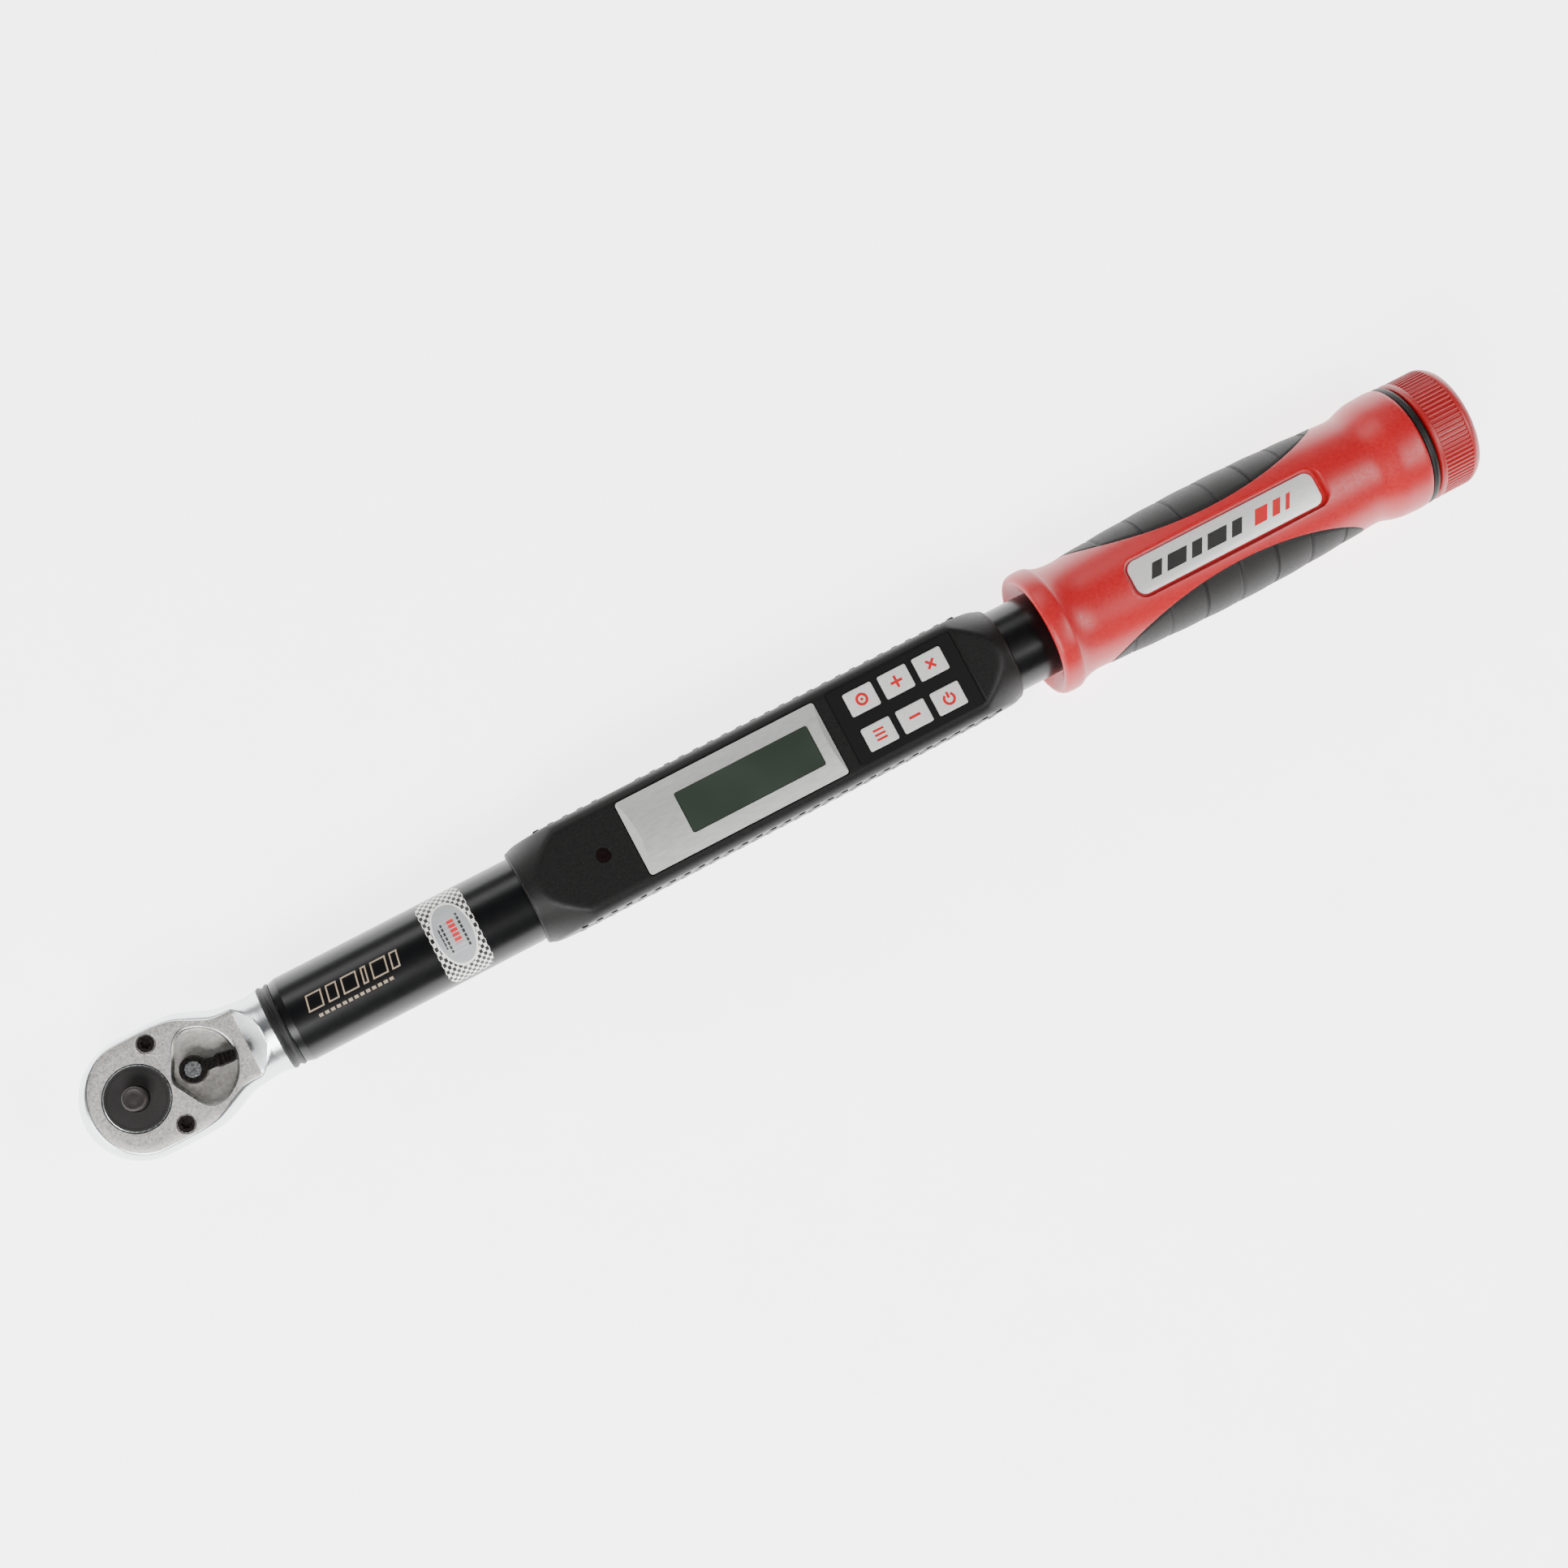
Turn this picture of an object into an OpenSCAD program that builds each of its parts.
// Electronic torque wrench with a round-head reversible ratchet and a square drive.
// X runs from the drive axis to the end cap, Z points out of the lever side.
// Z = 0 is the plane that holds the tube's axis.

/* [Ratchet head] */
// Half width of the head at its widest
head_r = 17.1; // [16.8:0.1:17.6]
// Half width of the flat face at the same place
head_flat_r = 15.6; // [15.2:0.1:16]
// Half thickness of the head between its flat faces
head_half_t = 6.2; // [6.1:0.1:6.6]
// Radius of the round drive disc in the head's face
disc_r = 9.13; // [8.8:0.01:9.3]
// Across flats of the square drive
square_af = 9.53; // [9.4:0.01:9.6]
// Number of ratchet teeth, a multiple of 12
teeth = 36; // [36:12:36]
// Half the angle the reversing lever swings through
lever_half_swing = 7.4; // [6:0.2:8]
// Half the angle the pawl rocks through
pawl_half_rock = 4; // [3.8:0.1:4.2]

/* [Tube] */
// Outside radius of the main tube
tube_r = 12.5; // [12.4:0.05:12.5]
// Bore radius of the main tube
tube_bore_r = 10.8; // [10.8:0.05:10.9]

/* [Housing] */
// Length of the electronics housing
housing_len = 152.3; // [150:0.1:153]
// Half width of the housing without its ribs
housing_half_w = 14.7; // [14.5:0.1:15]
// Height of the flat top above the tube's axis
housing_top_z = 15.2; // [15.2:0.1:15.6]
// How far each side rib stands out
rib_proud = 0.42; // [0.2:0.02:0.6]
// Spacing of the side ribs
rib_pitch = 4.54; // [4.4:0.02:4.55]
// Key length along the tool
key_len = 9; // [8.4:0.1:9.2]
// Key width across the tool
key_wid = 7.05; // [6.6:0.05:7.3]
// How far a key goes down
key_travel = 0.5; // [0.3:0.1:0.6]

/* [Grip] */
// Grip radius at its two waists
waist_r = 16.7; // [16.4:0.1:17]
// How much the belly stands out from the waists
belly_rise = 1.8; // [1.2:0.1:2]
// Largest radius of the flared ends
flare_r = 19; // [18.8:0.1:19.2]
// Depth of the flats under the flared ends, which keep the tool from rolling
rest_flat = 0.25; // [0.2:0.05:0.3]
// Radius of the insert's curved edge
insert_edge_r = 118; // [110:1:125]
// Number of ribs round the end cap
cap_ribs = 80; // [60:4:90]

/* [Hidden] */
$fn = 96;

eps = 0.01;
fit = 0.05;
far = 60;

// ratchet head, along X
head_x1 = 1;
head_x2 = 9;
head_x3 = 22;
shoulder_r = 14.2;
neck_x0 = 24;
neck_x1 = 40.3;
neck_r0 = 11.5;
neck_r1 = 12;
step_x0 = 32.2;
step_x1 = 37.8;
shank_x1 = 62;
shank_r = tube_bore_r - fit;
stud_bore_r = 4;
stud_x0 = 50;

// ratchet parts, along Z
gear_r = 11.2;
gear_root_r = 10.4;
gear_z0 = -4.4;
gear_z1 = 1.4;
cavity_r = 11.6;
cavity_z1 = 1.6;
plate_z1 = -4.6;
plate_r = 14.2;
hub_r = 7.4;
hub_z0 = -7.2;
tang_z0 = 0.1 - flare_r;
disc_z1 = head_half_t + 0.2;
button_r = 3.3;
button_z1 = 12.5;
button_seat_z = 2.4;
button_z0 = 5;
pin_r = 2;
pin_z0 = -15;
ball_r = 1.6;
ball_y = 3.9;
ball_z = -14;
groove_r = 1.4;
groove_z0 = -13.4;
groove_z1 = -9.6;

// cover screws
screw_x = 8.5;
screw_y = 12.12;
screw_head_r = 2.5;
screw_seat_z = 4.7;
screw_shank_r = 1.5;

// reversing lever
pivot_x = 16.75;
pocket_r = 11.2;
pocket_z = 3.4;
lever_hub_r = 3.86;
lever_z0 = 3.5;
lever_z1 = 7.8;
lever_tip = 12.05;
lever_pin_r = 2.25;
lever_pin_z1 = 8.4;
pawl_cavity_r = 9.2;
pawl_r = 8.6;

// neck seal and tube
seal_x1 = 43.9;
tube_x0 = 44;
tube_full_x = 46.1;
tube_x1 = 402;

// housing
hx0 = 117.2;
hx1 = hx0 + housing_len;
nose_r = 14;
nose_slope = 0.42;
flat_half_w = 11.5;
edge_r = 3.2;
shell_bore_r = tube_r + fit;
cut_z = 9;
cut_x0 = 135;
cut_x1 = 257;
bay_half_w = 11.4;
roof_z = 13.4;
pcb_t = 1.6;
pcb_z1 = cut_z + pcb_t;
rib_x0 = 127.6;
rib_count = 31;
rib_w = 2;

// display
bz_x0 = 149.6;
bz_x1 = 211.8;
bz_half_w = 11.1;
bz_z0 = 14.2;
bz_top = 16.6;
crown_r = 56;
lcd_x0 = 165.3;
lcd_x1 = 207.1;
lcd_half_w = 6.2;
led_x = 140.7;
led_r = 2;

// keypad
pad_x0 = 215.8;
pad_x1 = 255.3;
pad_half_w = 11.4;
pad_z1 = housing_top_z + 0.4;
key_x = [224.45, 235.5, 246.55];
key_y = 5.47;
key_z1 = housing_top_z + 1.1;
key_flange = 0.5;

// load beam
beam_x1 = 132;
beam_plug_x = 112;
beam_half_w = 6;
beam_half_h = 5.5;
beam_pin_x = [118, 127];

// batteries
car_x0 = 297;
car_x1 = 393.9;
car_r = tube_bore_r - fit;
cell_r = 7.15;
cell_bore_r = 7.5;
cell_x0 = 300.2;
cell_len = 49.2;

// grip and cap, along X
grip_x0 = 280.8;
grip_hole_x = 283.6;
waist_x0 = 294;
waist_x1 = 389;
grip_x1 = 405.7;
grip_bore_r = tube_r + fit;
insert_x = 340.8;
insert_x0 = 294.5;
insert_x1 = 388.5;
insert_in = 8.85;
insert_t = 1.8;
groove_pitch = 11.86;
badge_x0 = 308.7;
badge_x1 = 373.1;
badge_half_w = 6.1;
badge_floor = 15.4;
cap_neck_r = 16.15;
cap_neck_x1 = 408.2;
cap_flange_x = 408.9;
cap_ribs_x0 = 410.4;
cap_ribs_x1 = 419.6;
cap_x1 = 422.8;
cap_r = 18.6;
spigot_x0 = 394;
seal_minor = 1.25;

// Cylinder along X between two stations
module rod(x0, x1, r) {
    translate([x0, 0, 0])
        rotate([0, 90, 0])
            cylinder(h = x1 - x0, r = r);
}

// Cone along X between two stations
module cone(x0, x1, ra, rb) {
    translate([x0, 0, 0])
        rotate([0, 90, 0])
            cylinder(h = x1 - x0, r1 = ra, r2 = rb);
}

// Solid of revolution about X from points given as [radius, x]
module turned(points) {
    rotate([0, 90, 0])
        rotate_extrude()
            polygon(points);
}

// Box from its two corners
module block(a, b) {
    translate(a)
        cube([b[0] - a[0], b[1] - a[1], b[2] - a[2]]);
}

// Rounded rectangle prism centred on Y
module pad(x0, x1, half_w, z0, z1, r) {
    translate([0, 0, z0])
        linear_extrude(z1 - z0)
            union() {
                translate([x0 + r, -half_w])
                    square([x1 - x0 - 2 * r, 2 * half_w]);
                translate([x0, r - half_w])
                    square([x1 - x0, 2 * half_w - 2 * r]);
                for (x = [x0 + r, x1 - r], y = [r - half_w, half_w - r])
                    translate([x, y])
                        circle(r);
            }
}

// Half of the head's thickness at one station, with its drafted side wall
module drafted(x, r) {
    draft = head_r - head_flat_r;
    translate([x, 0, -1.5])
        cylinder(h = 3, r = r, $fn = 64);
    translate([x, 0, 1.5])
        cylinder(h = head_half_t - 1.5, r1 = r, r2 = r - draft, $fn = 64);
    translate([x, 0, -head_half_t])
        cylinder(h = head_half_t - 1.5, r1 = r - draft, r2 = r, $fn = 64);
}

// Ratchet tooth ring, grown by an offset
module tooth_ring(grow) {
    step = 360 / teeth;
    polygon([for (i = [0 : 2 * teeth - 1])
        let (r = (i % 2 == 0 ? gear_r : gear_root_r) + grow, a = i * step / 2)
        [r * cos(a), r * sin(a)]]);
}

// Turn about the lever's axis
module about_pivot(angle) {
    translate([pivot_x, 0, 0])
        rotate([0, 0, angle])
            translate([-pivot_x, 0, 0])
                children();
}

// Thumb pocket outline, a disc whose drive side is cut to a blunt point
module pocket_shape() {
    intersection() {
        translate([17.3, 0])
            circle(pocket_r);
        polygon([[11.2, -2.2], [11.2, 2.2], [17.4, 14], [30, 14], [30, -14], [17.4, -14]]);
    }
}

// Side wall, edge radius and flat top of the housing, across the tool
module housing_section() {
    circle(housing_half_w);
    translate([-housing_half_w, 0])
        square([2 * housing_half_w, housing_top_z - edge_r]);
    translate([-flat_half_w, 0])
        square([2 * flat_half_w, housing_top_z]);
    for (s = [-1, 1])
        translate([s * flat_half_w, housing_top_z - edge_r])
            circle(edge_r);
}

// Housing outside, with rounded nose and tail
module housing_outside() {
    nose_len = 26;
    intersection() {
        translate([hx0, 0, 0])
            rotate([90, 0, 90])
                linear_extrude(housing_len)
                    housing_section();
        turned([[0, hx0], [nose_r - 0.7, hx0], [nose_r, hx0 + 0.9],
                [nose_r + nose_slope * nose_len, hx0 + nose_len],
                [nose_r + nose_slope * nose_len, hx1 - nose_len],
                [nose_r, hx1 - 0.9], [nose_r - 0.7, hx1], [0, hx1]]);
    }
}

// Side ribs; the left wall leaves out two near its front and the last one
module side_ribs() {
    root = 1;
    for (i = [0 : rib_count - 1], s = [-1, 1])
        if (s < 0 || (i != 5 && i != 6 && i < rib_count - 1))
            translate([rib_x0 + i * rib_pitch - rib_w / 2, s < 0 ? -housing_half_w - rib_proud : housing_half_w - root, -4])
                cube([rib_w, root + rib_proud, 13.5]);
}

// Grip outside radius between the waists
function belly(x) = waist_r + belly_rise * sin(180 * (x - waist_x0) / (waist_x1 - waist_x0));

// Outside of the grip, cut back by an allowance
module grip_outside(less) {
    bands = 24;
    turned(concat(
        [[0, grip_hole_x], [grip_bore_r + 0.4, grip_hole_x], [16.8, grip_x0 + 0.3],
         [17.8 - less, grip_x0], [18.6 - less, grip_x0 + 0.9], [flare_r - less, grip_x0 + 2.6],
         [flare_r - less, grip_x0 + 5.4], [18.2 - less, grip_x0 + 6.8], [17.2 - less, 290.5]],
        [for (i = [0 : bands])
            let (x = waist_x0 + i * (waist_x1 - waist_x0) / bands)
            [belly(x) - less, x]],
        [[16.95 - less, 391.2], [17.9 - less, 394.2], [18.55 - less, 396.4], [18.75 - less, 398.2],
         [flare_r - 0.05 - less, 404.2], [18.4 - less, grip_x1], [0, grip_x1]]));
}

// Ring under the belly's surface, thick enough for an insert, with extra outside it
module belly_ring(extra) {
    bands = 24;
    span = insert_x1 - insert_x0;
    turned(concat(
        [for (i = [0 : bands])
            let (x = insert_x0 + i * span / bands)
            [belly(x) - insert_t, x]],
        [for (i = [bands : -1 : 0])
            let (x = insert_x0 + i * span / bands)
            [belly(x) + extra, x]]));
}

// Part of the belly that an insert fills, one side
module insert_zone(side, extra) {
    intersection() {
        belly_ring(extra);
        translate([insert_x, side * (insert_in + insert_edge_r), -far / 2])
            cylinder(h = far, r = insert_edge_r, $fn = 180);
    }
}

// Insert with its ring grooves, first groove at a given station
module grooved_insert(side, first) {
    groove_w = 0.9;
    groove_depth = 0.45;
    difference() {
        insert_zone(side, 0);
        for (i = [0 : 6])
            turned([[belly(first + i * groove_pitch) - groove_depth, first + i * groove_pitch - groove_w / 2],
                    [far / 2, first + i * groove_pitch - groove_w / 2],
                    [far / 2, first + i * groove_pitch + groove_w / 2],
                    [belly(first + i * groove_pitch) - groove_depth, first + i * groove_pitch + groove_w / 2]]);
    }
}

// One key with its hidden flange
module key(i, row) {
    x = key_x[i];
    y = row * key_y;
    color("lightgray")
        translate([0, y, 0])
            union() {
                pad(x - key_len / 2, x + key_len / 2, key_wid / 2, 13.2, key_z1, 0.5);
                block([x - key_len / 2 - key_flange, -key_wid / 2 - key_flange, 12.6],
                      [x + key_len / 2 + key_flange, key_wid / 2 + key_flange, 13.2]);
            }
}

module ratchet_head() {
    color("silver")
        difference() {
            union() {
                hull() {
                    drafted(head_x1, head_r);
                    drafted(head_x2, head_r);
                }
                hull() {
                    drafted(head_x2, head_r);
                    drafted(head_x3, shoulder_r);
                }
                difference() {
                    union() {
                        rod(neck_x0, 36, neck_r0);
                        cone(36, neck_x1, neck_r0, neck_r1);
                    }
                    for (s = [0, 1])
                        mirror([0, 0, s])
                            translate([0, far / 2, 0])
                                rotate([90, 0, 0])
                                    linear_extrude(far)
                                        polygon([[0, head_half_t], [step_x0, head_half_t],
                                                 [step_x1 + 1, 12.4], [step_x1 + 1, far], [0, far]]);
                }
                rod(neck_x1 - 1, shank_x1, shank_r);
            }
            // room for the gear and the pawl, closed underneath by the cover plate
            translate([0, 0, -head_half_t - 1])
                cylinder(h = head_half_t + 1 + cavity_z1, r = cavity_r);
            translate([pivot_x, 0, -head_half_t - 1])
                cylinder(h = head_half_t + 1 + cavity_z1, r = pawl_cavity_r);
            translate([0, 0, -head_half_t - 1])
                linear_extrude(head_half_t + 1 + plate_z1)
                    cover_outline(fit);
            // disc bore, lever bore and thumb pocket
            cylinder(h = far, r = disc_r + 0.07);
            translate([pivot_x, 0, 0])
                cylinder(h = far, r = lever_pin_r + fit);
            translate([0, 0, pocket_z])
                linear_extrude(far)
                    pocket_shape();
            // screws
            for (s = [-1, 1])
                translate([screw_x, s * screw_y, 0]) {
                    translate([0, 0, screw_seat_z])
                        cylinder(h = far, r = screw_head_r + fit);
                    translate([0, 0, -head_half_t - 1])
                        cylinder(h = far, r = screw_shank_r + 0.1, $fn = 48);
                }
            rod(stud_x0, far * 2, stud_bore_r + fit);
        }
}

// Cover plate outline
module cover_outline(grow) {
    circle(plate_r + grow);
    translate([pivot_x, 0])
        circle(11 + grow);
    translate([0, -screw_y - grow])
        square([screw_x, 2 * (screw_y + grow)]);
    for (s = [-1, 1])
        translate([screw_x, s * screw_y])
            circle(2.8 + grow);
}

module cover_plate() {
    color("gray")
        translate([0, 0, -head_half_t])
            difference() {
                linear_extrude(head_half_t + plate_z1 - 0.1)
                    cover_outline(0);
                translate([0, 0, -1])
                    cylinder(h = 5, r = hub_r + 0.06);
                for (s = [-1, 1])
                    translate([screw_x, s * screw_y, 0.4])
                        cylinder(h = 5, r = screw_shank_r + 0.02, $fn = 48);
            }
}

module cover_screws() {
    color("black")
        for (s = [-1, 1])
            translate([screw_x, s * screw_y, 0])
                difference() {
                    union() {
                        translate([0, 0, screw_seat_z])
                            cylinder(h = head_half_t - screw_seat_z - 0.05, r = screw_head_r);
                        translate([0, 0, -head_half_t + 0.4])
                            cylinder(h = head_half_t - 0.4 + screw_seat_z, r = screw_shank_r, $fn = 48);
                    }
                    translate([0, 0, head_half_t - 1.1])
                        cylinder(h = 2, r = 1.35, $fn = 6);
                }
}

module drive_gear() {
    half = square_af / 2;
    tip = 0.8;
    color("dimgray")
        difference() {
            union() {
                translate([0, 0, gear_z0])
                    linear_extrude(gear_z1 - gear_z0)
                        tooth_ring(0);
                translate([0, 0, gear_z1 - eps])
                    cylinder(h = disc_z1 - gear_z1 + eps, r = disc_r);
                translate([0, 0, hub_z0])
                    cylinder(h = gear_z0 - hub_z0 + eps, r = hub_r);
                block([-half, -half, tang_z0 + tip], [half, half, hub_z0 + eps]);
                translate([0, 0, tang_z0])
                    rotate([0, 0, 45])
                        cylinder(h = tip, r1 = (half - tip) * sqrt(2), r2 = half * sqrt(2), $fn = 4);
            }
            translate([0, 0, button_seat_z])
                cylinder(h = far, r = button_r + 0.06);
            translate([0, 0, -17.6])
                cylinder(h = far, r = pin_r + 0.06);
            translate([0, 1, ball_z])
                rotate([-90, 0, 0])
                    cylinder(h = far, r = ball_r + 0.06);
        }
}

module release_button() {
    color("dimgray")
        rotate_extrude()
            polygon([[0, pin_z0], [pin_r, pin_z0], [pin_r, groove_z0], [groove_r, groove_z0],
                     [groove_r, groove_z1], [pin_r, groove_z1 + 0.6], [pin_r, button_z0],
                     [button_r, button_z0], [button_r, button_z1 - 0.4],
                     [button_r - 0.4, button_z1], [0, button_z1]]);
}

module detent_ball() {
    color("silver")
        translate([0, ball_y, ball_z])
            sphere(ball_r);
}

module lever() {
    arm_root = 1.95;
    arm_end = 1.3;
    color("black")
        about_pivot(-lever_half_swing)
            translate([pivot_x, 0, 0])
                difference() {
                    union() {
                        translate([0, 0, lever_z0])
                            cylinder(h = lever_z1 - lever_z0, r = lever_hub_r);
                        translate([0, 0, head_half_t + 0.2])
                            linear_extrude(lever_z1 - head_half_t - 0.2)
                                polygon([[0, -arm_root], [lever_tip - 0.6, -arm_end], [lever_tip, 0.6 - arm_end],
                                         [lever_tip, arm_end - 0.6], [lever_tip - 0.6, arm_end], [0, arm_root]]);
                        for (i = [0 : 3])
                            translate([6.6 + 1.4 * i, -1.45 + 0.06 * i, lever_z1 - 0.6])
                                cube([0.9, 2.9 - 0.12 * i, 1.6]);
                        translate([6.6, -1.1, lever_z1 - 0.6])
                            cube([5.2, 2.2, 1.4]);
                    }
                    translate([0, 0, lever_z0 - 1])
                        cylinder(h = far, r = lever_pin_r + 0.02);
                }
}

module lever_pin() {
    flat = 1.85;
    color("silver")
        about_pivot(-lever_half_swing)
            translate([pivot_x, 0, 0])
                difference() {
                    translate([0, 0, gear_z0])
                        cylinder(h = lever_pin_z1 - gear_z0, r = lever_pin_r);
                    for (s = [-1, 1])
                        translate([-4, s * (flat + 2) - 2, lever_z1])
                            cube([8, 4, 4]);
                }
}

module pawl() {
    color("gray")
        translate([0, 0, gear_z0 + 0.1])
            linear_extrude(gear_z1 - gear_z0 - 0.2)
                difference() {
                    about_pivot(-pawl_half_rock)
                        intersection() {
                            translate([pivot_x, 0])
                                circle(pawl_r);
                            translate([0, -7.8])
                                square([19.6, 15.6]);
                        }
                    tooth_ring(0.12);
                    about_pivot(-2 * pawl_half_rock)
                        tooth_ring(0.12);
                    about_pivot(-pawl_half_rock)
                        translate([0, -3.4])
                            square([12.2, 6.8]);
                    translate([pivot_x, 0])
                        circle(lever_pin_r + fit);
                }
}

module neck_seal() {
    mid = (neck_x1 + seal_x1) / 2;
    color("black")
        turned([[shank_r + fit, neck_x1], [11.7, neck_x1], [12.2, neck_x1 + 0.5], [12.2, mid - 0.45],
                [11.6, mid], [12.2, mid + 0.45], [12.2, seal_x1 - 0.4], [11.8, seal_x1],
                [shank_r + fit, seal_x1]]);
}

module main_tube() {
    color("black")
        difference() {
            union() {
                cone(tube_x0, tube_full_x, 11.9, tube_r);
                rod(tube_full_x, tube_x1, tube_r);
            }
            rod(tube_x0 - 1, tube_x1 + 1, tube_bore_r);
            block([cut_x0, -far, cut_z], [cut_x1, far, far]);
            for (x = beam_pin_x)
                translate([x, far / 2, 0])
                    rotate([90, 0, 0])
                        cylinder(h = far, r = 2 + 0.02, $fn = 48);
            for (x = housing_screw_x())
                translate([x, 0, -tube_r - 1])
                    cylinder(h = 4, r = 1.12, $fn = 48);
        }
}

function housing_screw_x() = [146, 180, 214, 248];

module load_beam() {
    color("lightslategray")
        difference() {
            union() {
                rod(stud_x0 + 0.5, shank_x1, stud_bore_r);
                rod(shank_x1, shank_x1 + 6, shank_r - 0.3);
                block([shank_x1 + 5, -beam_half_w, -beam_half_h], [beam_plug_x + 1, beam_half_w, beam_half_h]);
                rod(beam_plug_x, beam_x1, shank_r);
            }
            for (x = beam_pin_x)
                translate([x, far / 2, 0])
                    rotate([90, 0, 0])
                        cylinder(h = far, r = 2 + 0.02, $fn = 48);
            block([beam_plug_x - 1, -3, beam_half_h - 0.5], [beam_x1 + 1, 3, far]);
        }
}

module strain_gauges() {
    color("orange")
        for (x = [84, 94], s = [-1, 1])
            translate([x, -2, s > 0 ? beam_half_h : -beam_half_h - 0.2])
                cube([7, 4, 0.2]);
}

module beam_pins() {
    color("silver")
        for (x = beam_pin_x)
            translate([x, tube_r - 0.1, 0])
                rotate([90, 0, 0])
                    cylinder(h = 2 * (tube_r - 0.1), r = 2, $fn = 48);
}

module sensor_ribbon() {
    z0 = beam_half_h;
    color("chocolate")
        translate([0, 1.5, 0])
            rotate([90, 0, 0])
                linear_extrude(3)
                    polygon([[102, z0], [140, z0], [143.3, cut_z - 0.3], [146.5, cut_z - 0.3], [146.5, cut_z],
                             [143, cut_z], [139.8, z0 + 0.3], [102, z0 + 0.3]]);
}

module inspection_label() {
    color("white")
        intersection() {
            difference() {
                rod(88.1, 101.8, tube_r + 0.17);
                rod(88, 102, tube_r + 0.02);
            }
            pad(88.1, 101.8, 12, 0, 20, 2.6);
        }
}

module housing_top() {
    color("darkslategray")
        difference() {
            union() {
                intersection() {
                    housing_outside();
                    block([0, -far, 0], [far * 5, far, far]);
                }
                intersection() {
                    side_ribs();
                    block([0, -far, 0], [far * 5, far, far]);
                }
                pad(255.6, 256.4, flat_half_w - 0.2, housing_top_z - 0.5, housing_top_z + 0.35, 0.3);
            }
            rod(hx0 - 1, hx1 + 1, shell_bore_r);
            block([cut_x0, -bay_half_w, 4], [cut_x1, bay_half_w, roof_z]);
            // display opening with the ledge that the bezel rests on
            block([bz_x0 + 1.4, -9.8, 10], [bz_x1 - 1.2, 9.8, far]);
            pad(bz_x0 - 0.2, bz_x1 + 0.2, bz_half_w + 0.2, bz_z0, far, 1.2);
            translate([led_x, 0, 10])
                cylinder(h = far, r = led_r, $fn = 48);
            for (x = key_x, s = [-1, 1])
                block([x - key_len / 2 - 0.25, s * key_y - key_wid / 2 - 0.25, 10],
                      [x + key_len / 2 + 0.25, s * key_y + key_wid / 2 + 0.25, far]);
        }
}

module housing_bottom() {
    color("darkslategray")
        difference() {
            union() {
                intersection() {
                    housing_outside();
                    block([0, -far, -far], [far * 5, far, 0]);
                }
                intersection() {
                    side_ribs();
                    block([0, -far, -far], [far * 5, far, 0]);
                }
            }
            rod(hx0 - 1, hx1 + 1, shell_bore_r);
            for (x = housing_screw_x())
                translate([x, 0, 0]) {
                    translate([0, 0, -far])
                        cylinder(h = far - housing_half_w + 0.9, r = 2, $fn = 48);
                    translate([0, 0, -housing_half_w - 1])
                        cylinder(h = 5, r = 1.2, $fn = 48);
                }
        }
}

module housing_screws() {
    color("silver")
        for (x = housing_screw_x())
            translate([x, 0, 0])
                difference() {
                    union() {
                        translate([0, 0, -housing_half_w + 0.05])
                            cylinder(h = 0.85, r = 1.9, $fn = 48);
                        translate([0, 0, -housing_half_w + 0.8])
                            cylinder(h = 3, r = 1.1, $fn = 48);
                    }
                    translate([0, 0, -housing_half_w - 1])
                        cylinder(h = 1.7, r = 0.85, $fn = 6);
                }
}

module bezel() {
    end_cut = 2.2;
    color("silver")
        difference() {
            intersection() {
                pad(bz_x0, bz_x1, bz_half_w, bz_z0, bz_top + 1, 1);
                translate([0, 0, bz_top - crown_r])
                    rotate([0, 90, 0])
                        cylinder(h = 400, r = crown_r, $fn = 360);
                translate([0, far / 2, 0])
                    rotate([90, 0, 0])
                        linear_extrude(far)
                            polygon([[bz_x0 - 1, bz_z0 - 1], [bz_x0 - 1, 14.8], [bz_x0 + end_cut, bz_top],
                                     [bz_x0 + end_cut, bz_top + 1], [bz_x1 - end_cut + 0.6, bz_top + 1],
                                     [bz_x1 - end_cut + 0.6, bz_top], [bz_x1 + 1, 14.8], [bz_x1 + 1, bz_z0 - 1]]);
            }
            pad(lcd_x0, lcd_x1, lcd_half_w, 10, 20, 0.8);
        }
}

module lcd_window() {
    color("darkolivegreen")
        pad(lcd_x0 + 0.06, lcd_x1 - 0.06, lcd_half_w - 0.06, bz_z0 - 0.1, 16, 0.74);
}

module lcd_module() {
    color("gray")
        block([163, -9, pcb_z1], [209.6, 9, bz_z0 - 0.1]);
}

module pcb() {
    color("green")
        difference() {
            block([cut_x0 + 1.5, -10.8, cut_z], [cut_x1 - 1.5, 10.8, pcb_z1]);
            for (x = [147, 254])
                translate([x, 7.2, cut_z - 1])
                    cylinder(h = 4, r = 1.2, $fn = 48);
        }
}

module pcb_chips() {
    color("black") {
        block([222, -3.5, cut_z - 1.1], [229, 3.5, cut_z]);
        block([200, -2, cut_z - 0.9], [204, 2, cut_z]);
        block([190, -2.6, cut_z - 1.4], [193, 2.6, cut_z]);
        block([151, -6, pcb_z1], [155, 6, pcb_z1 + 1.2]);
        block([251.7, -2.5, pcb_z1], [254.5, 2.5, pcb_z1 + 1]);
    }
}

module buzzer() {
    color("black")
        translate([176, 0, cut_z - 3])
            difference() {
                cylinder(h = 3, r = 4.5, $fn = 64);
                translate([0, 0, -1])
                    cylinder(h = 1.6, r = 0.8, $fn = 32);
            }
}

module key_domes() {
    color("gold")
        for (x = key_x, s = [-1, 1])
            translate([x, s * key_y, pcb_z1])
                union() {
                    cylinder(h = 0.5, r = 3, $fn = 48);
                    translate([0, 0, 0.4])
                        cylinder(h = 1, r = 1.6, $fn = 48);
                }
}

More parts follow.
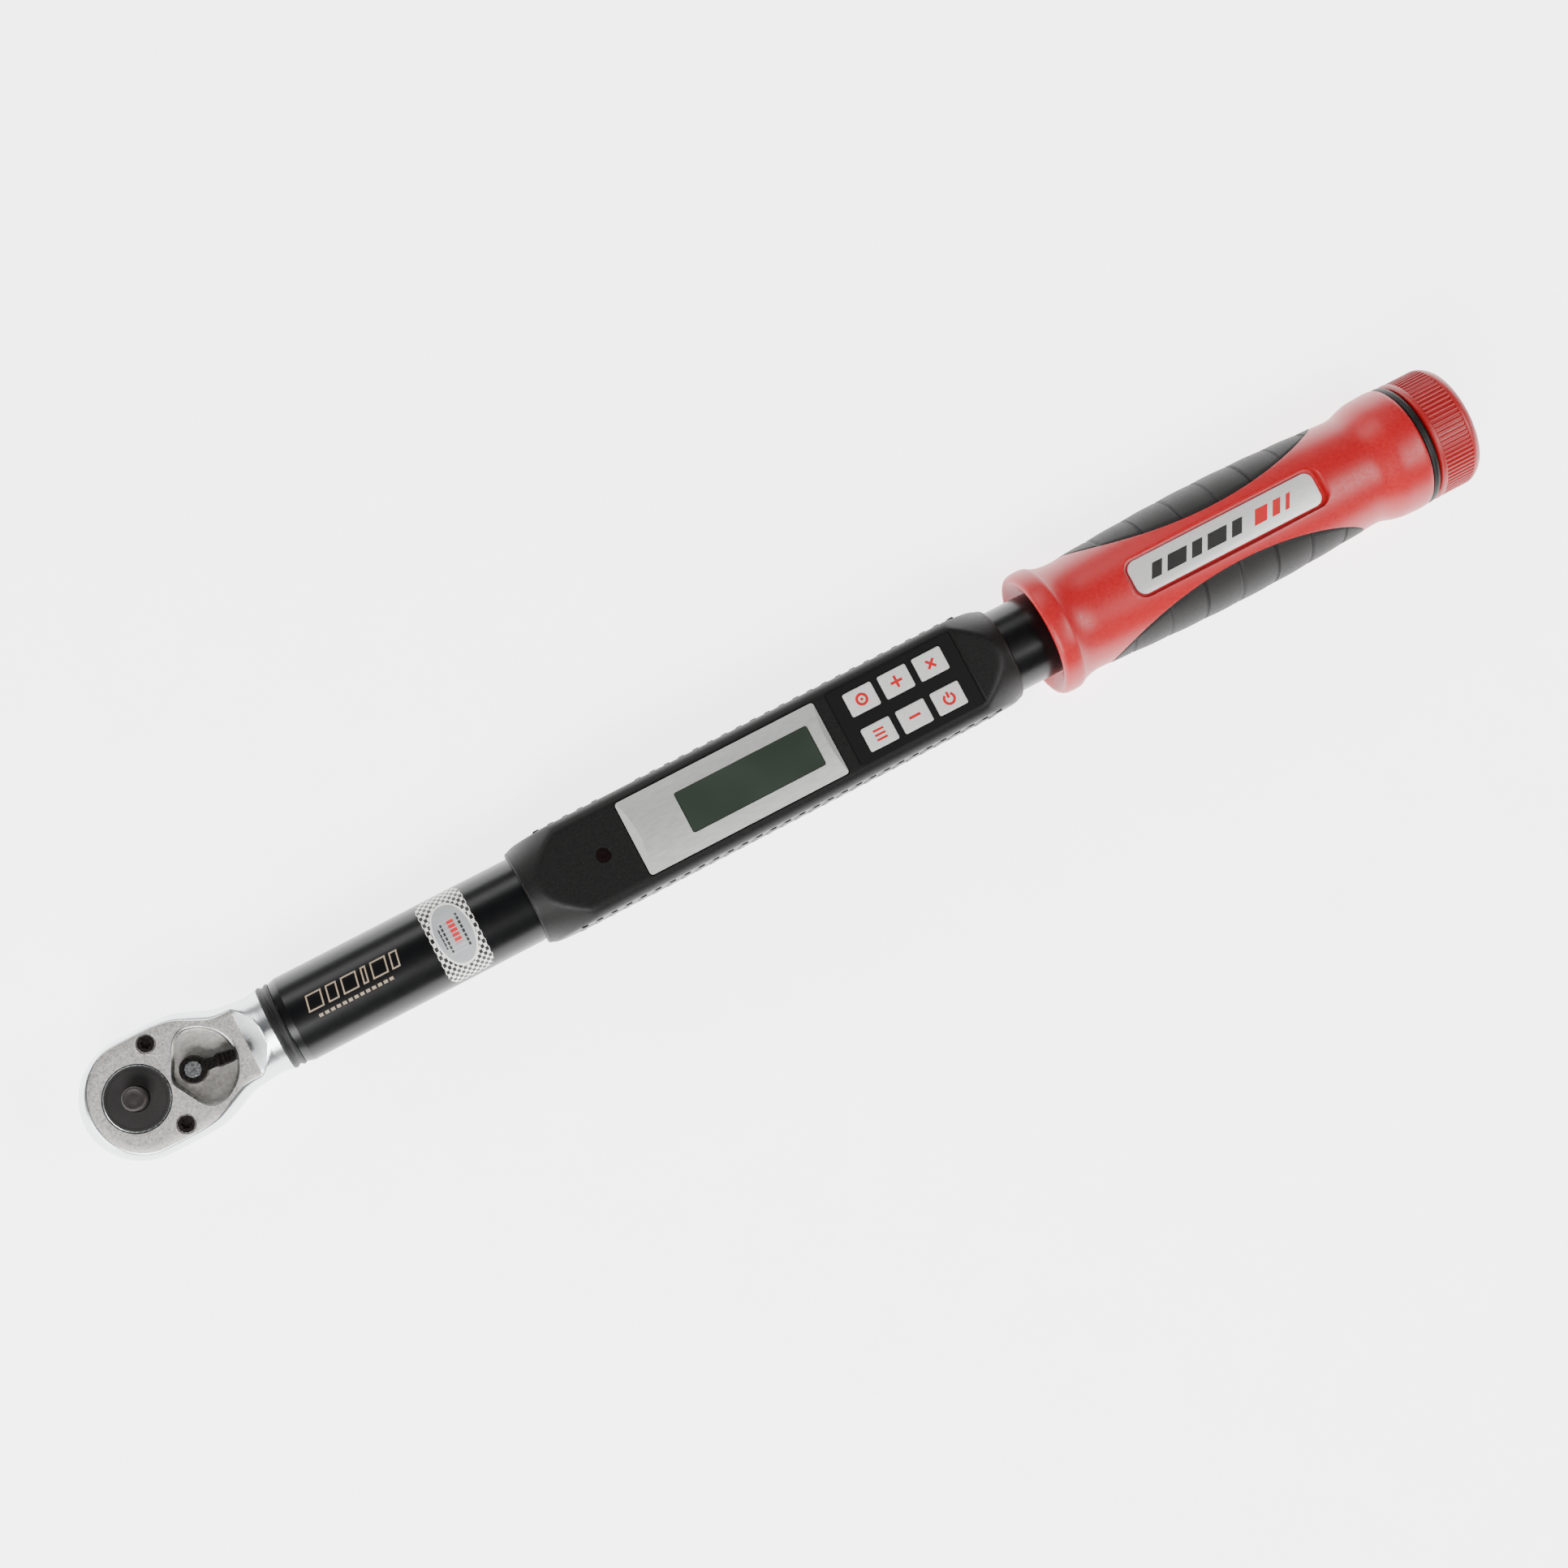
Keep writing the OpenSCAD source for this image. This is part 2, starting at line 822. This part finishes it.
module status_led() {
    color("white")
        block([led_x - 1.6, -1.4, pcb_z1], [led_x + 1.6, 1.4, pcb_z1 + 1.4]);
}

module led_lens() {
    color("darkred")
        translate([led_x, 0, 0])
            union() {
                translate([0, 0, pcb_z1 + 1.4])
                    cylinder(h = roof_z - pcb_z1 - 1.4, r = 2.8, $fn = 48);
                translate([0, 0, roof_z - 0.1])
                    cylinder(h = housing_top_z - roof_z - 0.3, r = led_r - 0.06, $fn = 48);
            }
}

module keypad_panel() {
    color("black")
        difference() {
            pad(pad_x0, pad_x1, pad_half_w, housing_top_z, pad_z1, 1);
            for (x = key_x, s = [-1, 1])
                translate([0, s * key_y, 0])
                    pad(x - key_len / 2 - 0.15, x + key_len / 2 + 0.15, key_wid / 2 + 0.15, 14, 20, 0.6);
        }
}

module key_set() {
    key(0, 1);
}

module key_plus() {
    key(1, 1);
}

module key_clear() {
    key(2, 1);
}

module key_mode() {
    key(0, -1);
}

module key_minus() {
    key(1, -1);
}

module key_power() {
    key(2, -1);
}

module battery_leads() {
    color("red")
        for (s = [-1, 1])
            translate([249, s * 2, cut_z - 0.7])
                rotate([0, 90, 0])
                    cylinder(h = car_x0 - 249, r = 0.6, $fn = 24);
}

module battery_carrier() {
    wall = 2.5;
    color("black")
        difference() {
            rod(car_x0, car_x1, car_r);
            rod(car_x0 + wall, car_x1 + 1, cell_bore_r);
        }
}

module battery_cells() {
    color("goldenrod")
        for (i = [0, 1])
            turned([[0, cell_x0 + i * (cell_len + 1.2)],
                    [2.7, cell_x0 + i * (cell_len + 1.2)],
                    [2.7, cell_x0 + 1.1 + i * (cell_len + 1.2)],
                    [cell_r, cell_x0 + 1.1 + i * (cell_len + 1.2)],
                    [cell_r, cell_x0 + cell_len + 1.1 + i * (cell_len + 1.2)],
                    [0, cell_x0 + cell_len + 1.1 + i * (cell_len + 1.2)]]);
}

module battery_contact() {
    color("gold")
        rod(car_x0 + 2.5, cell_x0, 5);
}

module grip_sleeve() {
    color("red")
        difference() {
            grip_outside(0);
            rod(grip_x0 - 1, grip_x1 + 1, grip_bore_r);
            insert_zone(1, 3);
            insert_zone(-1, 3);
            pad(badge_x0, badge_x1, badge_half_w, badge_floor, far, 3.5);
            block([grip_x0 - 1, -flare_r, -far], [grip_x1 + 1, flare_r, rest_flat - flare_r]);
        }
}

module insert_left() {
    color("dimgray")
        grooved_insert(1, 307.6);
}

module insert_right() {
    color("dimgray")
        grooved_insert(-1, 304.8);
}

module badge_plate() {
    gap = 0.95;
    color("silver")
        pad(badge_x0 + gap, badge_x1 - gap - 0.7, badge_half_w - gap, badge_floor, badge_floor + 0.7, 2.8);
}

module cap_seal() {
    color("black")
        translate([grip_x1 + seal_minor, 0, 0])
            rotate([0, 90, 0])
                rotate_extrude()
                    translate([cap_neck_r + 0.05 + seal_minor, 0])
                        circle(seal_minor, $fn = 48);
}

module end_cap() {
    tooth_out = cap_r - 0.12;
    tooth_in = cap_r - 0.45;
    step = 360 / cap_ribs;
    color("firebrick")
        difference() {
            union() {
                rod(spigot_x0, grip_x1 + 0.2, tube_bore_r - 0.08);
                rod(grip_x1 + 0.05, cap_neck_x1 + 0.2, cap_neck_r);
                rod(cap_neck_x1 + 0.05, cap_flange_x + 0.1, 17.6);
                turned([[0, cap_flange_x], [cap_r - 0.4, cap_flange_x], [cap_r, cap_flange_x + 0.4],
                        [cap_r, cap_ribs_x0], [0, cap_ribs_x0]]);
                translate([cap_ribs_x0 - eps, 0, 0])
                    rotate([90, 0, 90])
                        linear_extrude(cap_ribs_x1 - cap_ribs_x0 + 2 * eps)
                            polygon([for (i = [0 : 4 * cap_ribs - 1])
                                let (k = i % 4, r = (k == 1 || k == 2) ? tooth_out : tooth_in,
                                     a = (floor(i / 4) + [0, 0.2, 0.6, 0.8][k]) * step)
                                [r * cos(a), r * sin(a)]]);
                turned([[0, cap_ribs_x1], [cap_r - 0.05, cap_ribs_x1], [cap_r - 0.5, cap_ribs_x1 + 1.4],
                        [cap_r - 1.2, cap_ribs_x1 + 2.6], [cap_r - 2, cap_x1], [0, cap_x1]]);
            }
            rod(spigot_x0 - 1, 403, 8);
        }
}

module cap_contact() {
    color("gold")
        rod(401, 403, 6.5);
}

ratchet_head();
cover_plate();
cover_screws();
drive_gear();
release_button();
detent_ball();
lever();
lever_pin();
pawl();
neck_seal();
main_tube();
load_beam();
strain_gauges();
beam_pins();
sensor_ribbon();
inspection_label();
housing_top();
housing_bottom();
housing_screws();
bezel();
lcd_window();
lcd_module();
pcb();
pcb_chips();
buzzer();
key_domes();
status_led();
led_lens();
keypad_panel();
key_set();
key_plus();
key_clear();
key_mode();
key_minus();
key_power();
battery_leads();
battery_carrier();
battery_cells();
battery_contact();
grip_sleeve();
insert_left();
insert_right();
badge_plate();
cap_seal();
end_cap();
cap_contact();
